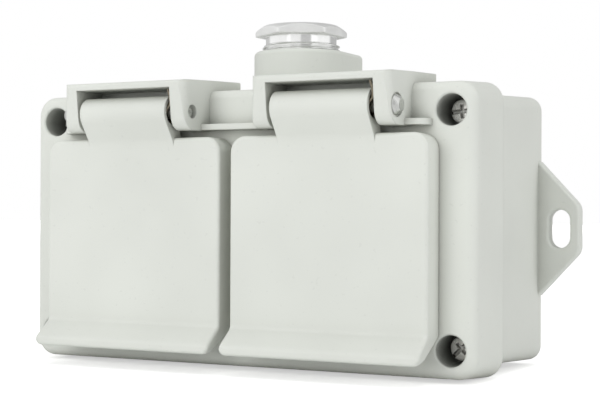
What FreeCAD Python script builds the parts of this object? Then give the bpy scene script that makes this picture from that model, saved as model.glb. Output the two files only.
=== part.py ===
import FreeCAD, Part
import math
import os

# Outdoor double socket in a cast housing: two spring lids over two side-earth sockets,
# a cable entry with a hexagon gland screw on top, and a fixing lug at each end.
# Millimetres. X runs to the right seen from the front, Y runs from the front to the wall,
# Z is up. The origin is the middle of the back plane that lies against the wall.

Vec = FreeCAD.Vector

# Fits: close is a screw or a pin in its hole, loose is between pieces that do not bear,
# bearing is left where two flat faces meet. Root is how deep a boss is set into its wall,
# over is how far a cut runs past the face it opens.
close = 0.06
loose = 0.3
bearing = 0.1
blind_reserve = 0.5
root = 1.0
over = 1.0

# Socket cups
cup_radius = 19.6
cup_wall = 2.0
cup_depth = 17.5
cup_floor = 2.5
cup_outer_radius = cup_radius + cup_wall
aperture_radius = cup_outer_radius + loose
collar_wall = 2.1
collar_radius = aperture_radius + collar_wall
collar_height = 2.0
collar_edge = 0.6
plug_pin_spacing = 19.0
plug_pin_hole_radius = 2.75
guide_width = 4.8
guide_reach = 2.4
flange_size = 2 * (cup_outer_radius + 2.4)
flange_corner = 5.0
flange_thickness = 3.0
post_height = 4.0
post_radius = 3.2
post_spacing = flange_size - 7.0
post_screw_radius = 1.5
post_screw_length = 8.0
post_screw_head_radius = 2.8
post_screw_head_height = 1.8

# Lid seals
seal_inner_radius = aperture_radius - 1.3
seal_outer_radius = collar_radius + 0.7
seal_gap = 0.3
seal_rib = 1.2
seal_rib_height = 2.0

# Lids
lid_wall = 2.2
lid_side_room = 2.8
lid_width = 2 * (seal_outer_radius + loose + seal_rib + lid_side_room + lid_wall)
lid_reach = 8.5
lid_gap = 0.4
lid_below_pin = 7.6
socket_below_lid_top = seal_outer_radius + 3.6
lid_height = socket_below_lid_top + seal_outer_radius + 3.1
lid_corner = 4.7
lid_edge = 1.0
lid_inner_round = 0.8
lip_reach = 6.5
lip_drop = 4.9
lip_band = 2.7
lip_underside_rise = 7.1
lip_bottom_land = 1.6
lip_corner = 2.0
crease_radius = 1.9

# Hinge pins, lid springs and the arm round them
pin_radius = 2.0
pin_ahead = 8.8
pin_below_top = 6.8
pin_end_edge = 0.3
pin_end_sunk = 0.2
rivet_radius = pin_radius + 1.0
rivet_top_radius = pin_radius - 0.2
rivet_height = 1.9
rivet_seat_radius = rivet_radius + 0.4
rivet_seat_depth = 0.4
spring_wire = 0.9
spring_inner_radius = pin_radius + 0.4
spring_turns = 12
spring_end_gap = 0.2
spring_bore_clearance = 0.4
spring_bore_radius = spring_inner_radius + spring_wire + spring_bore_clearance
arm_width = 30.6
barrel_radius = spring_bore_radius + 1.2
arm_lean = 35.0
arm_rear_lean = 41.0
arm_foot_round = 5.0

# Housing
body_depth = 63.0
socket_pitch = lid_width + 3.6
cover_width = socket_pitch + lid_width + 22.0
cover_height = pin_below_top + lid_below_pin + lid_height + lip_drop + lip_band + 4.7
cover_depth = 20.5
cover_corner = 6.0
cover_edge = 2.6
cover_wall = 5.0
cover_plate = 3.0
cover_draft_side = 0.6
cover_draft_top = 1.3
box_inset = 3.2
box_draft_side = 1.7
box_draft_top = 2.0
box_corner = 4.6
box_wall = 3.0
box_back_edge = 1.2
gasket_thickness = 1.0
gasket_inset = 0.3
gasket_width = 2.0

# Cover screws and their pillars
pillar_radius = 6.0
box_pillar_radius = 4.6
counterbore_radius = 4.5
counterbore_depth = 12.0
counterbore_edge = 0.4
screw_from_side = cover_edge + counterbore_radius + counterbore_edge + 0.1
screw_from_top = screw_from_side + 0.3
screw_radius = 2.0
screw_grip = 13.0
screw_head_radius = 3.5
screw_head_height = 2.6
screw_washer_radius = 4.0
screw_washer_thickness = 0.9
screw_slot_width = 0.9
screw_slot_depth = 1.3
screw_cross_length = 4.0
screw_head_edge = 0.3

# Hinge blocks on the cover: two cheeks that taper to the front, under a roof
arm_side_gap = 1.5
block_opening = arm_width + 2 * arm_side_gap
cheek_thickness = 6.1
block_width = block_opening + 2 * cheek_thickness
block_reach = 13.7
block_draft = 1.2
block_edge = 3.2
block_rear_edge = 2.2
block_rear_gap = 0.3
block_lean = 1.8
cheek_drop = 5.5
cheek_round = 4.5
roof_over_top = 2.5
roof_rear_rise = 1.6
roof_thickness = 2.1
roof_front_round = 1.2
roof_rear_round = 2.5
ledge_from_side = 13.2
ledge_reach = 4.5
ledge_thickness = 1.8
ledge_end_round = 3.5
ledge_above_cheek = 0.2

# Contacts behind the cups
base_inset = 1.1
base_size = 2 * (cup_radius - base_inset)
base_depth = 14.0
base_corner = 4.0
contact_pocket_half = 4.2
contact_depth = 10.0
leaf_thickness = 0.7
leaf_gap = 4.6
leaf_width = 4.8
terminal_size = 7.2
terminal_offset = 10.2
terminal_front_gap = 1.2
terminal_hole_radius = 1.6
terminal_screw_radius = 1.45
terminal_head_radius = 2.3
terminal_head_height = 1.8
terminal_slot_width = 0.6
terminal_slot_depth = 0.7
strap_width = 6.0
strap_thickness = 0.8
strap_finger_inset = 0.7
strap_finger_reach = 15.5
strap_bow = 1.2
strap_bow_from_tip = 4.0
strap_bend_from_tip = 8.5
strap_slot_inner = 0.6
strap_slot_outer = 0.9
strap_tail_gap = 0.4
strap_screw_share = 0.6
strap_screw_length = 3.4
centre_screw_radius = 1.4
centre_head_radius = 2.7
centre_head_height = 1.4
centre_head_sunk = 0.2
centre_screw_length = 9.0

# Cable entry on top of the box
thread_radius = 12.7
thread_clearance = 0.08
entry_wall = 2.5
entry_radius = thread_radius + entry_wall
entry_front_gap = 3.9
entry_over_cover = 15.3
entry_rear_gap = 4.6
entry_rear_round = 4.0
entry_edge = 1.4
entry_shoulder = 3.7
entry_hole_radius = 9.5

# Gland
gland_flats = 26.0
gland_head_height = 3.6
gland_head_edge = 1.9
gland_top_radius = 12.0
gland_bore_radius = 8.5
gland_bore_edge = 0.8
gland_neck_radius = 11.7
gland_neck_height = 2.4
gland_standoff = 4.9
gland_thread_length = 10.0
gland_thread_edge = 0.7
gland_turn = 27.0
gland_washer_thickness = 1.0
gland_disc_thickness = 0.8
gland_ring_clearance = 0.5

# Fixing lugs
lug_thickness = 4.0
lug_reach = 12.0
lug_root_half = 21.0
lug_tip_half = 7.2
lug_round = 4.5
lug_edge = 0.8
slot_from_side = 5.7
slot_width = 6.6
slot_length = 12.0

# Earth terminal inside the box
earth_post_radius = 4.2
earth_post_height = 9.0
earth_post_drop = 21.0
earth_screw_radius = 2.0
earth_screw_length = 10.0
earth_head_radius = 4.0
earth_head_height = 2.4
earth_clamp_size = 9.0
earth_clamp_corner = 1.0
earth_clamp_thickness = 1.2

# Places that follow from the sizes
half_w = cover_width / 2
half_h = cover_height / 2
face_y = -body_depth
plate_back_y = face_y + cover_plate
seam_y = face_y + cover_depth
box_front_y = seam_y + gasket_thickness
seam_half_w = half_w + cover_draft_side
seam_half_h = half_h + cover_draft_top
box_half_w = seam_half_w - box_inset
box_half_h = seam_half_h - box_inset
back_half_w = box_half_w + box_draft_side
screw_x = half_w - screw_from_side
screw_z = half_h - screw_from_top
pin_y = face_y - pin_ahead
pin_z = half_h - pin_below_top
block_front_y = face_y - block_reach
roof_front_z = half_h + roof_over_top
roof_under_z = roof_front_z - roof_thickness
seat_at_pin = block_width / 2 - block_draft * pin_ahead / block_reach
rivet_seat_x = seat_at_pin - rivet_seat_depth
lid_top_z = pin_z - lid_below_pin
lid_rim_y = face_y - lid_gap
lid_face_y = face_y - lid_reach
lid_inner_y = lid_face_y + lid_wall
crease_z = lid_top_z - lid_height
lip_y = lid_face_y - lip_reach
lip_crease_z = crease_z - lip_drop
lip_bottom_z = lip_crease_z - lip_band
spring_length = spring_turns * spring_wire
socket_z = lid_top_z - socket_below_lid_top
cup_front_y = face_y - collar_height
cup_floor_y = cup_front_y + cup_depth
cup_back_y = cup_floor_y + cup_floor
flange_y = plate_back_y + post_height
flange_back_y = flange_y + flange_thickness
base_back_y = cup_back_y + base_depth
pocket_back_y = cup_back_y + contact_depth
contact_back_y = pocket_back_y - bearing
terminal_wire_y = cup_back_y + contact_depth / 2
terminal_z = socket_z + terminal_offset
strap_y = cup_back_y + bearing
strap_finger_z = cup_radius - strap_finger_inset - strap_thickness
strap_screw_y = cup_back_y + base_depth * strap_screw_share
strap_tail_z = socket_z - base_size / 2 - strap_tail_gap - strap_thickness
entry_y = box_front_y + entry_front_gap + entry_radius
entry_top_z = half_h + entry_over_cover
entry_floor_z = box_half_h - box_wall + entry_shoulder
gland_head_z = entry_top_z + gland_standoff
gland_neck_z = gland_head_z - gland_neck_height
gland_low_z = gland_neck_z - gland_thread_length
earth_post_front_y = -box_wall - earth_post_height
earth_post_z = -earth_post_drop
socket_centres = {"left": -socket_pitch / 2, "right": socket_pitch / 2}


def block(x0, x1, y0, y1, z0, z1):
    return Part.makeBox(x1 - x0, y1 - y0, z1 - z0, Vec(x0, y0, z0))


def rod(radius, start, end):
    """A round bar from one point to the other."""
    run = end - start
    return Part.makeCylinder(radius, run.Length, start, run)


def rod_x(radius, x0, x1, y, z):
    return rod(radius, Vec(x0, y, z), Vec(x1, y, z))


def rod_y(radius, x, y0, y1, z):
    return rod(radius, Vec(x, y0, z), Vec(x, y1, z))


def rod_z(radius, x, y, z0, z1):
    return rod(radius, Vec(x, y, z0), Vec(x, y, z1))


def rounded_face(corners, place):
    """A flat face whose corners are (u, v, radius); place turns u, v into a point."""
    ends = []
    count = len(corners)
    for i in range(count):
        u, v, radius = corners[i]
        before = corners[i - 1]
        after = corners[(i + 1) % count]
        here = Vec(u, v, 0)
        back = (Vec(before[0], before[1], 0) - here).normalize()
        ahead = (Vec(after[0], after[1], 0) - here).normalize()
        if radius == 0:
            ends.append((here, here, here))
            continue
        half_angle = back.getAngle(ahead) / 2
        bisector = (back + ahead).normalize()
        leg = radius / math.tan(half_angle)
        middle = here + bisector * (radius / math.sin(half_angle) - radius)
        ends.append((here + back * leg, middle, here + ahead * leg))
    edges = []
    for i in range(count):
        enter, middle, leave = (place(p.x, p.y) for p in ends[i])
        if corners[i][2] > 0:
            edges.append(Part.Arc(enter, middle, leave).toShape())
        following = ends[(i + 1) % count][0]
        edges.append(Part.LineSegment(leave, place(following.x, following.y)).toShape())
    return Part.Face(Part.Wire(edges))


def side_profile(corners, x0, x1):
    """A profile of (y, z, radius) corners drawn out along X."""
    face = rounded_face(corners, lambda y, z: Vec(x0, y, z))
    return face.extrude(Vec(x1 - x0, 0, 0))


def front_profile(corners, y0, y1):
    """A profile of (x, z, radius) corners drawn out along Y."""
    face = rounded_face(corners, lambda x, z: Vec(x, y0, z))
    return face.extrude(Vec(0, y1 - y0, 0))


def plan_profile(corners, z0, z1):
    """A profile of (x, y, radius) corners drawn out along Z."""
    face = rounded_face(corners, lambda x, y: Vec(x, y, z0))
    return face.extrude(Vec(0, 0, z1 - z0))


def rounded_slab(half_x, half_z, corner, y0, y1):
    """A rectangle with round corners, seen from the front, drawn out along Y."""
    corners = [(-half_x, -half_z, corner), (half_x, -half_z, corner),
               (half_x, half_z, corner), (-half_x, half_z, corner)]
    return front_profile(corners, y0, y1)


def drafted_slab(half_x, half_z, grow_x, grow_z, corner, y0, y1):
    """A rounded slab that grows by the given amounts from its front to its back."""
    wires = []
    for y, x, z in ((y0, half_x, half_z), (y1, half_x + grow_x, half_z + grow_z)):
        corners = [(-x, -z, corner), (x, -z, corner), (x, z, corner), (-x, z, corner)]
        wires.append(rounded_face(corners, lambda u, v: Vec(u, y, v)).OuterWire)
    return Part.makeLoft(wires, True, True)


def fillet_where(shape, radius, test):
    return shape.makeFillet(radius, [edge for edge in shape.Edges if test(edge.BoundBox)])


def chamfer_where(shape, size, test):
    return shape.makeChamfer(size, [edge for edge in shape.Edges if test(edge.BoundBox)])


def flat_at(value, low, high):
    """True for an extent that lies in one plane at the given value."""
    return abs(low - value) < 1e-4 and abs(high - value) < 1e-4


def join(shapes):
    whole = shapes[0]
    for shape in shapes[1:]:
        whole = whole.fuse(shape)
    return whole.removeSplitter()


def corner_places(half_x, half_z):
    return [(sx * half_x, sz * half_z) for sx in (-1, 1) for sz in (-1, 1)]


def hinge_block(centre_x):
    """The hood over a lid's hinge: two cheeks and a roof that runs back over the cover."""
    half = block_width / 2
    rear_y = seam_y - block_rear_gap
    root_y = plate_back_y - root
    bottom = pin_z - cheek_drop
    side = side_profile([(root_y, bottom, 0),
                         (block_front_y + block_lean, bottom, cheek_round),
                         (block_front_y, roof_front_z, roof_front_round),
                         (rear_y, roof_front_z + roof_rear_rise, roof_rear_round),
                         (rear_y, half_h - root, 0),
                         (root_y, half_h - root, 0)],
                        centre_x - half, centre_x + half)
    plan = plan_profile([(centre_x - half + block_draft, block_front_y, block_edge),
                         (centre_x + half - block_draft, block_front_y, block_edge),
                         (centre_x + half, face_y, 0),
                         (centre_x + half, rear_y, block_rear_edge),
                         (centre_x - half, rear_y, block_rear_edge),
                         (centre_x - half, face_y, 0)],
                        bottom - over, roof_front_z + roof_rear_rise + over)
    return side.common(plan)


def hinge_opening(centre_x, outward):
    """The gap for the lid's arm, the pin hole and a flat seat for the rivet head."""
    half = block_opening / 2
    gap = block(centre_x - half, centre_x + half, block_front_y - over, face_y,
                pin_z - cheek_drop - over, roof_under_z)
    pin_hole = rod_x(pin_radius + close, centre_x - block_width, centre_x + block_width,
                     pin_y, pin_z)
    seat_x = centre_x + outward * rivet_seat_x
    seat = rod_x(rivet_seat_radius, seat_x, seat_x + outward * over, pin_y, pin_z)
    return [gap, pin_hole, seat]


def ledge():
    """The drip ledge across the cover, above the lids."""
    end = half_w - ledge_from_side
    low_z = pin_z - cheek_drop + ledge_above_cheek
    front_y = face_y - ledge_reach
    return plan_profile([(-end, face_y + root, 0), (-end, front_y, ledge_end_round),
                         (end, front_y, ledge_end_round), (end, face_y + root, 0)],
                        low_z, low_z + ledge_thickness)


def counterbore(x, z):
    """The sunk seat of a cover screw, broken at its mouth, with the hole through the pillar."""
    mouth = counterbore_radius + counterbore_edge
    hole = screw_radius + loose
    steps = [(0, -over), (mouth, -over), (mouth, 0), (counterbore_radius, counterbore_edge),
             (counterbore_radius, counterbore_depth), (hole, counterbore_depth),
             (hole, cover_depth + over), (0, cover_depth + over)]
    points = [Vec(x + radius, face_y + depth, z) for radius, depth in steps]
    half_section = Part.Face(Part.makePolygon(points + points[:1]))
    return half_section.revolve(Vec(x, face_y, z), Vec(0, 1, 0), 360)


def front_cover():
    outer = drafted_slab(half_w, half_h, cover_draft_side, cover_draft_top, cover_corner,
                         face_y, seam_y)
    outer = fillet_where(outer, cover_edge, lambda b: flat_at(face_y, b.YMin, b.YMax))
    hollow = rounded_slab(half_w - cover_wall, half_h - cover_wall, cover_corner,
                          plate_back_y, seam_y + over)
    parts = [outer.cut(hollow), ledge()]
    cuts = []
    for x, z in corner_places(screw_x, screw_z):
        parts.append(rod_y(pillar_radius, x, plate_back_y - root, seam_y, z))
        cuts.append(counterbore(x, z))
    for centre_x in socket_centres.values():
        parts.append(hinge_block(centre_x))
        cuts.extend(hinge_opening(centre_x, math.copysign(1, centre_x)))
        collar = rod_y(collar_radius, centre_x, cup_front_y, face_y + root, socket_z)
        parts.append(fillet_where(collar, collar_edge,
                                  lambda b: flat_at(cup_front_y, b.YMin, b.YMax)))
        cuts.append(rod_y(aperture_radius, centre_x, cup_front_y - over, plate_back_y + over,
                          socket_z))
        hole_front_y = flange_back_y - post_screw_length - blind_reserve
        for dx, dz in corner_places(post_spacing / 2, post_spacing / 2):
            x = centre_x + dx
            z = socket_z + dz
            parts.append(rod_y(post_radius, x, plate_back_y - root, flange_y, z))
            cuts.append(rod_y(post_screw_radius + close, x, hole_front_y, flange_y + over, z))
    whole = join(parts)
    for cut in cuts:
        whole = whole.cut(cut)
    return whole.removeSplitter()


def cover_gasket():
    """A flat ring in the joint, widened round each screw."""
    half_x = box_half_w - gasket_inset
    half_z = box_half_h - gasket_inset
    corner = box_corner - gasket_inset
    ring = rounded_slab(half_x, half_z, corner, seam_y, box_front_y)
    inner = rounded_slab(half_x - gasket_width, half_z - gasket_width, corner - gasket_width,
                         seam_y - over, box_front_y + over)
    ring = ring.cut(inner)
    for x, z in corner_places(screw_x, screw_z):
        ring = ring.fuse(rod_y(box_pillar_radius - gasket_inset, x, seam_y, box_front_y, z))
    for x, z in corner_places(screw_x, screw_z):
        ring = ring.cut(rod_y(screw_radius + loose, x, seam_y - over, box_front_y + over, z))
    return ring.removeSplitter()


def lug_slot(slot_x):
    """The upright fixing slot with round ends, as a cutting shape."""
    radius = slot_width / 2
    straight = slot_length / 2 - radius
    front_y = -lug_thickness - over
    slot = block(slot_x - radius, slot_x + radius, front_y, over, -straight, straight)
    for z in (-straight, straight):
        slot = slot.fuse(rod_y(radius, slot_x, front_y, over, z))
    return slot.removeSplitter()


def lug(side):
    """One fixing lug: side is 1 at the right end and -1 at the left end."""
    wall_x = side * back_half_w
    root_x = side * (back_half_w - root)
    tip_x = side * (half_w + lug_reach)
    plate = front_profile([(root_x, -lug_root_half, 0), (wall_x, -lug_root_half, 0),
                           (tip_x, -lug_tip_half, lug_round), (tip_x, lug_tip_half, lug_round),
                           (wall_x, lug_root_half, 0), (root_x, lug_root_half, 0)],
                          -lug_thickness, 0)
    plate = plate.cut(lug_slot(side * (half_w + slot_from_side)))
    free_edges = []
    for edge in plate.Edges:
        box = edge.BoundBox
        outermost = max(side * box.XMin, side * box.XMax)
        if flat_at(-lug_thickness, box.YMin, box.YMax) and outermost > back_half_w + close:
            free_edges.append(edge)
    return plate.makeFillet(lug_edge, free_edges)


def entry_boss():
    """The raised boss for the cable entry, round at the front and square at the back."""
    rear_y = -entry_rear_gap
    low_z = box_half_h - root
    back = plan_profile([(-entry_radius, entry_y, 0), (entry_radius, entry_y, 0),
                         (entry_radius, rear_y, entry_rear_round),
                         (-entry_radius, rear_y, entry_rear_round)], low_z, entry_top_z)
    boss = join([back, rod_z(entry_radius, 0, entry_y, low_z, entry_top_z)])
    return fillet_where(boss, entry_edge, lambda b: flat_at(entry_top_z, b.ZMin, b.ZMax))


def back_box():
    outer = drafted_slab(box_half_w, box_half_h, box_draft_side, box_draft_top, box_corner,
                         box_front_y, 0)
    outer = fillet_where(outer, box_back_edge, lambda b: flat_at(0, b.YMin, b.YMax))
    hollow = drafted_slab(box_half_w - box_wall, box_half_h - box_wall, box_draft_side,
                          box_draft_top, box_corner, box_front_y, -box_wall)
    parts = [outer.cut(hollow), entry_boss(), lug(-1), lug(1)]
    for x, z in corner_places(screw_x, screw_z):
        parts.append(rod_y(box_pillar_radius, x, box_front_y, -box_wall + root, z))
    parts.append(rod_y(earth_post_radius, 0, earth_post_front_y, -box_wall + root, earth_post_z))
    whole = join(parts)
    for x, z in corner_places(screw_x, screw_z):
        whole = whole.cut(rod_y(screw_radius + close, x, box_front_y - over,
                                box_front_y + screw_grip + blind_reserve, z))
    whole = whole.cut(rod_z(thread_radius, 0, entry_y, entry_floor_z, entry_top_z + over))
    whole = whole.cut(rod_z(entry_hole_radius, 0, entry_y, box_half_h - box_wall - over,
                            entry_floor_z + over))
    whole = whole.cut(rod_y(earth_screw_radius + close, 0, earth_post_front_y - over,
                            -box_wall, earth_post_z))
    return whole.removeSplitter()


def lid_front_y(z):
    """Where the sharp front profile of a lid lies at a height."""
    fall = min(max((crease_z - z) / lip_drop, 0), 1)
    return lid_face_y - fall * lip_reach


def on_lid_rim(edge):
    """True for an edge that borders the lid's front, and false for the two creases."""
    span = edge.LastParameter - edge.FirstParameter
    points = [edge.valueAt(edge.FirstParameter + span * i / 4) for i in range(5)]
    if any(abs(point.y - lid_front_y(point.z)) > crease_radius / 2 for point in points):
        return False
    box = edge.BoundBox
    runs_across = box.XLength > lid_width - lid_corner
    between_rims = lip_bottom_z + close < box.ZMin and box.ZMax < lid_top_z - close
    return not (runs_across and between_rims)


def lid_outside():
    """The cast cap with its flared finger lip, about X = 0, before it is hollowed."""
    half = lid_width / 2
    profile = side_profile([(lid_rim_y, lid_top_z, 0), (lid_face_y, lid_top_z, 0),
                            (lid_face_y, crease_z, crease_radius),
                            (lip_y, lip_crease_z, crease_radius),
                            (lip_y, lip_bottom_z, 0),
                            (lip_y + lip_bottom_land, lip_bottom_z, 0),
                            (lid_rim_y, lip_bottom_z + lip_underside_rise, 0)],
                           -half, half)
    outline = front_profile([(-half, lid_top_z, lid_corner), (half, lid_top_z, lid_corner),
                             (half, lip_bottom_z, lip_corner),
                             (-half, lip_bottom_z, lip_corner)],
                            lip_y - over, lid_rim_y)
    shell = profile.common(outline)
    return shell.makeFillet(lid_edge, [edge for edge in shell.Edges if on_lid_rim(edge)])


def lid_hollow():
    """The room behind the lid's front plate, whose floor runs level with the lip's underside."""
    half = lid_width / 2 - lid_wall
    slope = lip_underside_rise / (lid_reach + lip_reach - lid_gap - lip_bottom_land)
    rim_z = lip_bottom_z + lip_underside_rise + lid_wall * math.hypot(1, slope)
    inner_z = rim_z - slope * (lid_rim_y - lid_inner_y)
    profile = side_profile([(lid_rim_y + over, lid_top_z - lid_wall, 0),
                            (lid_inner_y, lid_top_z - lid_wall, lid_inner_round),
                            (lid_inner_y, inner_z, lid_inner_round),
                            (lid_rim_y + over, rim_z + slope * over, 0)],
                           -half, half)
    inner_corner = lid_corner - lid_wall
    outline = front_profile([(-half, lid_top_z - lid_wall, inner_corner),
                             (half, lid_top_z - lid_wall, inner_corner),
                             (half, lip_bottom_z, 0), (-half, lip_bottom_z, 0)],
                            lid_face_y, lid_rim_y + over)
    return profile.common(outline)


def seal_ribs():
    """Two rings in the lid that hold the seal between them."""
    back_y = lid_inner_y + seal_rib_height
    rings = []
    for inner in (seal_inner_radius - loose - seal_rib, seal_outer_radius + loose):
        ring = rod_y(inner + seal_rib, 0, lid_inner_y - root / 2, back_y, socket_z)
        rings.append(ring.cut(rod_y(inner, 0, lid_inner_y - root, back_y + over, socket_z)))
    return rings


def lid():
    """The cap, and the arm that runs up from it to the barrel round the pin."""
    half = arm_width / 2
    lean = math.radians(arm_lean)
    rear_lean = math.radians(arm_rear_lean)
    front_y = pin_y - barrel_radius * math.cos(lean)
    front_z = pin_z - barrel_radius * math.sin(lean)
    foot_z = front_z - (lid_face_y - front_y) / math.tan(lean)
    web = side_profile([(pin_y, pin_z, 0), (front_y, front_z, 0), (lid_face_y, foot_z, 0),
                        (lid_face_y + lid_wall / 2, foot_z, 0),
                        (lid_face_y + 2 * lid_wall, lid_top_z - lid_wall / 2, 0),
                        (pin_y + barrel_radius * math.cos(rear_lean),
                         pin_z - barrel_radius * math.sin(rear_lean), 0)],
                       -half, half)
    barrel = rod_x(barrel_radius, -half, half, pin_y, pin_z)
    whole = join([lid_outside().cut(lid_hollow()), barrel, web] + seal_ribs())
    foot_edges = []
    for edge in whole.Edges:
        box = edge.BoundBox
        at_foot = flat_at(lid_face_y, box.YMin, box.YMax) and flat_at(foot_z, box.ZMin, box.ZMax)
        if at_foot and box.XLength > arm_width / 2:
            foot_edges.append(edge)
    whole = whole.makeFillet(arm_foot_round, foot_edges)
    whole = whole.cut(rod_x(pin_radius + close, -half - over, half + over, pin_y, pin_z))
    spring_seat_x = half - spring_length - 3 * spring_end_gap
    whole = whole.cut(rod_x(spring_bore_radius, spring_seat_x, half + over, pin_y, pin_z))
    return whole.removeSplitter()


def lid_seal():
    back_y = cup_front_y - seal_gap
    ring = rod_y(seal_outer_radius, 0, lid_inner_y, back_y, socket_z)
    return ring.cut(rod_y(seal_inner_radius, 0, lid_inner_y - over, back_y + over, socket_z))


def hinge_pin(outward):
    """A pin with a button head at its outer end, driven in until its plain end is just sunk."""
    head_x = rivet_seat_x + close
    fall = (rivet_radius ** 2 - rivet_top_radius ** 2 - rivet_height ** 2) / (2 * rivet_height)
    ball = Part.makeSphere(math.hypot(rivet_radius, fall), Vec(head_x - fall, pin_y, pin_z),
                           Vec(1, 0, 0))
    head = ball.common(rod_x(rivet_radius + over, head_x, head_x + rivet_height, pin_y, pin_z))
    end_x = -(seat_at_pin - pin_end_sunk)
    shaft = rod_x(pin_radius, end_x, head_x + root, pin_y, pin_z)
    shaft = chamfer_where(shaft, pin_end_edge, lambda b: flat_at(end_x, b.XMin, b.XMax))
    pin = join([shaft, head])
    if outward < 0:
        pin = pin.mirror(Vec(0, 0, 0), Vec(1, 0, 0))
    return pin


def lid_spring():
    """A close-wound torsion spring: the coil, and the leg that bears on the roof."""
    end = arm_width / 2 - spring_end_gap
    start = end - spring_length
    coil = rod_x(spring_inner_radius + spring_wire, start, end, pin_y, pin_z)
    coil = coil.cut(rod_x(spring_inner_radius, start - over, end + over, pin_y, pin_z))
    wire_radius = spring_wire / 2
    leg_y = pin_y - spring_inner_radius - wire_radius
    leg_x = (arm_width + block_opening) / 4
    leg = rod_z(wire_radius, leg_x, leg_y, pin_z, roof_under_z - spring_end_gap)
    bridge = rod_x(wire_radius, end - wire_radius, leg_x, leg_y, pin_z)
    return join([coil, leg, bridge])


def socket_cup():
    """The moulded cup that a plug goes into, about X = 0, with its mounting flange."""
    z = socket_z
    cup = rod_y(cup_outer_radius, 0, cup_front_y, cup_back_y, z)
    flange = rounded_slab(flange_size / 2, flange_size / 2, flange_corner, flange_y, flange_back_y)
    flange.translate(Vec(0, 0, z))
    whole = cup.fuse(flange)
    whole = whole.cut(rod_y(cup_radius, 0, cup_front_y - over, cup_floor_y, z))
    guides = []
    for side in (-1, 1):
        ends = sorted((side * (cup_radius - guide_reach), side * (cup_radius + cup_wall / 2)))
        guides.append(block(ends[0], ends[1], cup_front_y + over, cup_floor_y + root,
                            z - guide_width / 2, z + guide_width / 2))
    whole = join([whole] + guides)
    slot_half = strap_width / 2 + loose
    slot_front_y = cup_back_y - strap_finger_reach - loose
    for side in (-1, 1):
        whole = whole.cut(rod_y(plug_pin_hole_radius, side * plug_pin_spacing / 2,
                                cup_floor_y - over, cup_back_y + over, z))
        low = z + side * (strap_finger_z - strap_slot_inner)
        high = z + side * (strap_finger_z + strap_thickness + strap_slot_outer)
        whole = whole.cut(block(-slot_half, slot_half, slot_front_y, cup_back_y + over,
                                min(low, high), max(low, high)))
    whole = whole.cut(rod_y(centre_screw_radius + centre_head_sunk, 0, cup_floor_y - over,
                            cup_back_y + over, z))
    whole = whole.cut(Part.makeCone(centre_head_radius + centre_head_sunk,
                                    centre_screw_radius + centre_head_sunk,
                                    centre_head_height, Vec(0, cup_floor_y, z), Vec(0, 1, 0)))
    for dx, dz in corner_places(post_spacing / 2, post_spacing / 2):
        whole = whole.cut(rod_y(post_screw_radius + loose, dx, flange_y - over,
                                flange_back_y + over, z + dz))
    return whole.removeSplitter()


def contact_base():
    """The insulating block behind the cup, with a pocket for each contact."""
    half = base_size / 2
    base = rounded_slab(half, half, base_corner, cup_back_y, base_back_y)
    base.translate(Vec(0, 0, socket_z))
    channel = strap_width / 2 + loose
    base = base.cut(block(-channel, channel, cup_back_y - over, strap_y + strap_thickness + bearing,
                          socket_z - half - over, socket_z + half + over))
    for side in (-1, 1):
        x = side * plug_pin_spacing / 2
        base = base.cut(block(x - contact_pocket_half, x + contact_pocket_half,
                              cup_back_y - over, pocket_back_y,
                              socket_z - leaf_width / 2 - loose,
                              terminal_z + terminal_size / 2 + loose))
        base = base.cut(rod_y(terminal_head_radius + loose, x, pocket_back_y - over,
                              base_back_y + over, terminal_z))
        base = base.cut(rod_z(terminal_hole_radius + loose, x, terminal_wire_y,
                              terminal_z, socket_z + half + over))
    base = base.cut(rod_y(centre_screw_radius + close, 0, cup_back_y - over,
                          cup_floor_y + centre_screw_length + blind_reserve, socket_z))
    low_z = socket_z - half
    base = base.cut(rod_z(terminal_screw_radius + close, 0, strap_screw_y, low_z - over,
                          low_z + strap_screw_length))
    return base.removeSplitter()


def pole_contact(side):
    """A brass contact: two leaves that grip a plug pin, a strip and a terminal block."""
    x = side * plug_pin_spacing / 2
    inner = leaf_gap / 2
    outer = inner + leaf_thickness
    half = terminal_size / 2
    strip = block(x - outer, x + outer, contact_back_y - leaf_thickness, contact_back_y,
                  socket_z - leaf_width / 2, terminal_z)
    parts = [strip]
    for turn in (-1, 1):
        ends = sorted((x + turn * inner, x + turn * outer))
        parts.append(block(ends[0], ends[1], cup_back_y + loose, contact_back_y,
                           socket_z - leaf_width / 2, socket_z + leaf_width / 2))
    parts.append(block(x - half, x + half, cup_back_y + terminal_front_gap, contact_back_y,
                       terminal_z - half, terminal_z + half))
    whole = join(parts)
    whole = whole.cut(rod_z(terminal_hole_radius, x, terminal_wire_y, terminal_z - half - over,
                            terminal_z + half + over))
    return whole.cut(rod_y(terminal_screw_radius + close, x, terminal_wire_y,
                           contact_back_y + over, terminal_z)).removeSplitter()


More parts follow.
